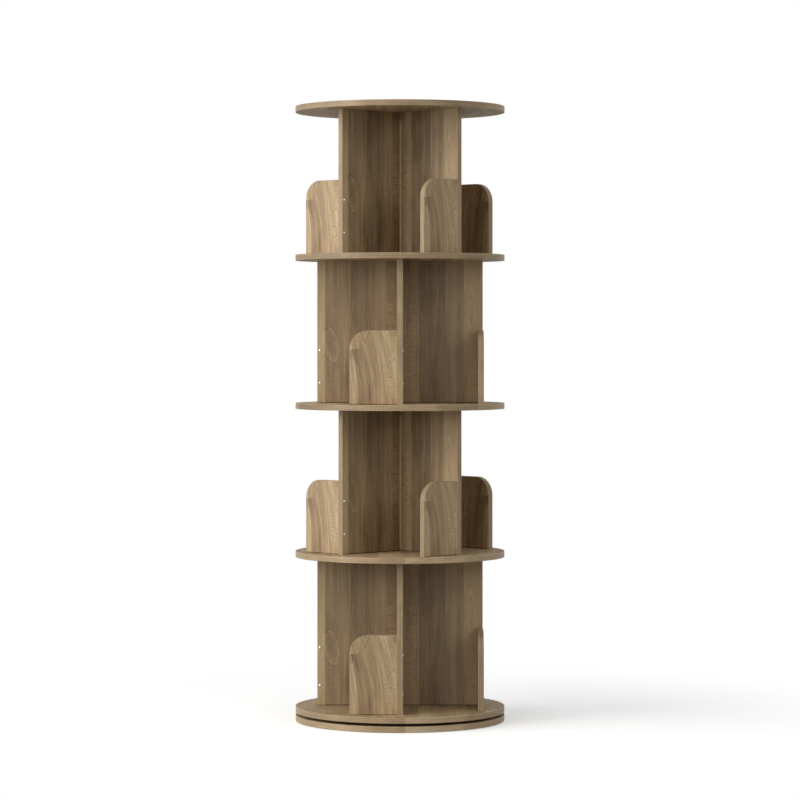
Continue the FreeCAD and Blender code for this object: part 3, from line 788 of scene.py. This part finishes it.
# How far the lamps stand from the bookcase's middle, in metres
LAMP_DISTANCE = 4.0


def seen_ray(tree):
    """One where the ray is seen straight, in a gloss or through glass, and zero where it gives light."""
    path = add(tree, "ShaderNodeLightPath")
    either = add(tree, "ShaderNodeMath", {0: path.outputs["Is Camera Ray"], 1: path.outputs["Is Glossy Ray"]},
                 operation="MAXIMUM")
    return add(tree, "ShaderNodeMath", {0: either, 1: path.outputs["Is Transmission Ray"]},
               operation="MAXIMUM")


def studio_floor():
    """A wide plain floor under the bookcase."""
    bpy.ops.object.select_all(action="DESELECT")
    bpy.ops.mesh.primitive_plane_add(size=FLOOR_SIZE, location=(0, 0, 0))
    floor = bpy.context.object
    floor.name = "studio_floor"
    material = new_material("pale_studio_floor")
    tree = material.node_tree
    seen = seen_ray(tree)
    surface = add(tree, "ShaderNodeTexCoord")
    away = add(tree, "ShaderNodeVectorMath", {0: surface.outputs["Object"]}, operation="LENGTH")
    away = away.outputs["Value"]

    tint = add(tree, "ShaderNodeMix", {"Factor": seen, "A": FLOOR_BOUNCE, "B": FLOOR_PALE}, data_type="RGBA")
    matt = add(tree, "ShaderNodeBsdfDiffuse", {"Color": tint.outputs["Result"]})
    # The floor glows a little less close to the base, as painted contact shade
    near_shade_glow = add(tree, "ShaderNodeMapRange", {"Value": away, "From Min": FLOOR_SHADE_TO,
                                            "From Max": FLOOR_BRIGHT_FROM, "To Min": FLOOR_SHADED_GLOW,
                                            "To Max": FLOOR_BRIGHT_GLOW})
    lift = add(tree, "ShaderNodeMath", {0: seen, 1: near_shade_glow}, operation="MULTIPLY")
    glow = add(tree, "ShaderNodeEmission", {"Strength": lift})
    lit = add(tree, "ShaderNodeAddShader", {0: matt, 1: glow})

    # It runs out to plain white about a metre off, so no horizon shows
    fade = add(tree, "ShaderNodeMapRange", {"Value": away, "From Min": FLOOR_FADE_FROM,
                                            "From Max": FLOOR_FADE_TO}, interpolation_type="SMOOTHSTEP")
    far_and_seen = add(tree, "ShaderNodeMath", {0: seen, 1: fade}, operation="MULTIPLY")
    white = add(tree, "ShaderNodeEmission", {"Strength": 1.0})
    mixed = add(tree, "ShaderNodeMixShader", {0: far_and_seen, 1: lit, 2: white})

    # From below the floor isn't there, so the underside can be seen
    clear = add(tree, "ShaderNodeBsdfTransparent")
    side = add(tree, "ShaderNodeNewGeometry")
    one_sided = add(tree, "ShaderNodeMixShader", {0: side.outputs["Backfacing"], 1: mixed, 2: clear})
    add(tree, "ShaderNodeOutputMaterial", {"Surface": one_sided})
    floor.data.materials.append(material)


def studio_surround(strength):
    """A surround that is plain white where it is seen, and lights the bookcase softly."""
    world = bpy.data.worlds.new("studio_surround")
    bpy.context.scene.world = world
    world.use_nodes = True
    tree = world.node_tree
    tree.nodes.clear()
    soft = add(tree, "ShaderNodeBackground", {"Color": WHITE, "Strength": strength})
    white = add(tree, "ShaderNodeBackground", {"Color": WHITE, "Strength": 1.0})
    mixed = add(tree, "ShaderNodeMixShader", {0: seen_ray(tree), 1: soft, 2: white})
    add(tree, "ShaderNodeOutputWorld", {"Surface": mixed})


def lamp(name, azimuth, elevation, size, watts):
    """A soft lamp aimed at the bookcase's middle, with its angles in degrees and its size in metres.

    Azimuth 0 is the front, and positive is to the right.
    """
    data = bpy.data.lights.new(name, "AREA")
    data.shape = "RECTANGLE"
    data.size, data.size_y = size
    data.energy = watts
    holder = bpy.data.objects.new(name, data)
    bpy.context.collection.objects.link(holder)
    around = math.radians(azimuth)
    up = math.radians(elevation)
    middle = cad_high[2] / 2
    holder.location = (math.sin(around) * math.cos(up) * LAMP_DISTANCE,
                       -math.cos(around) * math.cos(up) * LAMP_DISTANCE,
                       middle + math.sin(up) * LAMP_DISTANCE)
    holder.rotation_euler = (math.radians(90) - up, 0, around)


studio_floor()
studio_surround(SURROUND_STRENGTH)
lamp("key_softbox", azimuth=-67, elevation=19, size=(3.4, 2.8), watts=113)
lamp("top_softbox", azimuth=-35, elevation=50, size=(1.8, 1.8), watts=17)
lamp("front_softbox", azimuth=-20, elevation=6, size=(1.6, 1.6), watts=14)
lamp("right_softbox", azimuth=40, elevation=24, size=(2.6, 2.2), watts=27)

# Camera: far off and level with the third tier's middle, looking down by half a degree, as in the photo
CAMERA_AT = (0, -6.716, 0.8346)
CAMERA_DIP = 0.497
CAMERA_SENSOR = 36
CAMERA_LENS = 140.3
CAMERA_SHIFT = -0.05

camera_data = bpy.data.cameras.new("camera")
camera = bpy.data.objects.new("camera", camera_data)
bpy.context.collection.objects.link(camera)
camera_data.sensor_width = CAMERA_SENSOR
camera_data.lens = CAMERA_LENS
camera_data.shift_y = CAMERA_SHIFT
camera.location = CAMERA_AT
camera.rotation_euler = (math.radians(90 - CAMERA_DIP), 0, 0)
bpy.context.scene.camera = camera

bpy.context.scene.view_settings.view_transform = "Standard"
